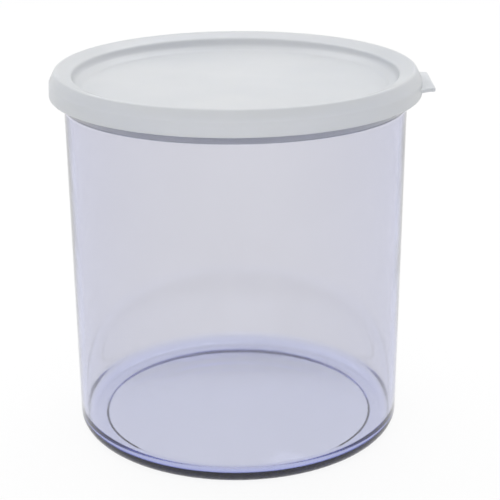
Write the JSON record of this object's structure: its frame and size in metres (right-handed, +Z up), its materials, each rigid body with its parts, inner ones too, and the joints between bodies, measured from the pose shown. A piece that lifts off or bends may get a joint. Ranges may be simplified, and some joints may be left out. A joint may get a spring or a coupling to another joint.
{
  "type": "round food storage container with lid",
  "caption": "Straight-sided round clear tub with a rounded foot and thick rim, closed by a milky press-fit lid with a recessed panel and a pull tab.",
  "frame": {"origin": "centre of the foot ring, on the surface that the container stands on", "axes": "+Z up along the container's axis; +X towards the lid's pull tab; +Y away from the pictured front"},
  "size_m": [0.1705, 0.166, 0.169],
  "materials": {
    "clear_tub": "polished clear moulding with a faint blue-violet tint that turns navy in thick sections",
    "milky_lid": "satin, milky and slightly see-through flexible moulding"
  },
  "bodies": {
    "tub": {"container": "clear_tub"},
    "lid": {"lid": "milky_lid"}
  },
  "joints": [
    {"name": "lid_lift", "type": "slide", "parent": "tub", "child": "lid", "axis": [0, 0, 1], "range_m": [0, 0.1]}
  ]
}
